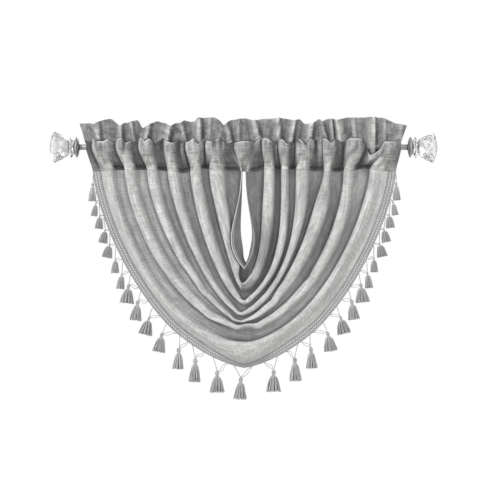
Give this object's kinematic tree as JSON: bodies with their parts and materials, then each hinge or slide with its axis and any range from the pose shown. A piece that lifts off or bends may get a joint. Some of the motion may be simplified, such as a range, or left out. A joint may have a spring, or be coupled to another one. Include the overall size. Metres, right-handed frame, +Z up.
{
  "type": "waterfall valance on a curtain rod",
  "caption": "Waterfall valance of grey linen-look cloth: a ruffled rod-pocket heading, a panel in cowl folds, a braid and tassels at the hem, on a slim metal rod with clear cut finials.",
  "frame": {"origin": "on the rod's axis, midway between its ends", "axes": "+X along the rod to the right as seen from the room, +Y towards the wall, +Z up"},
  "size_m": [1.3152, 0.108, 0.9576],
  "materials": {
    "cloth": "semi-sheer grey linen-look plain weave with slubs",
    "heading_cloth": "the same grey linen-look weave, doubled in the heading",
    "braid_yarn": "grey woven gimp braid, ribbed",
    "tassel_yarn": "grey spun tassel yarn",
    "rod_metal": "satin silver metal",
    "crystal": "clear cut acrylic, polished"
  },
  "bodies": {
    "root": {"rod": "rod_metal", "collar_left": "rod_metal", "bead_left": "crystal", "knob_left": "crystal", "collar_right": "rod_metal", "bead_right": "crystal", "knob_right": "crystal", "heading": "heading_cloth", "panel": "cloth", "braid": "braid_yarn", "tassel_01": "tassel_yarn", "tassel_02": "tassel_yarn", "tassel_03": "tassel_yarn", "tassel_04": "tassel_yarn", "tassel_05": "tassel_yarn", "tassel_06": "tassel_yarn", "tassel_07": "tassel_yarn", "tassel_08": "tassel_yarn", "tassel_09": "tassel_yarn", "tassel_10": "tassel_yarn", "tassel_11": "tassel_yarn", "tassel_12": "tassel_yarn", "tassel_13": "tassel_yarn", "tassel_14": "tassel_yarn", "tassel_15": "tassel_yarn", "tassel_16": "tassel_yarn", "tassel_17": "tassel_yarn", "tassel_18": "tassel_yarn", "tassel_19": "tassel_yarn", "tassel_20": "tassel_yarn", "tassel_21": "tassel_yarn", "tassel_22": "tassel_yarn", "tassel_23": "tassel_yarn", "tassel_24": "tassel_yarn", "tassel_25": "tassel_yarn", "tassel_26": "tassel_yarn", "tassel_27": "tassel_yarn", "tassel_28": "tassel_yarn", "tassel_29": "tassel_yarn"}
  },
  "joints": []
}
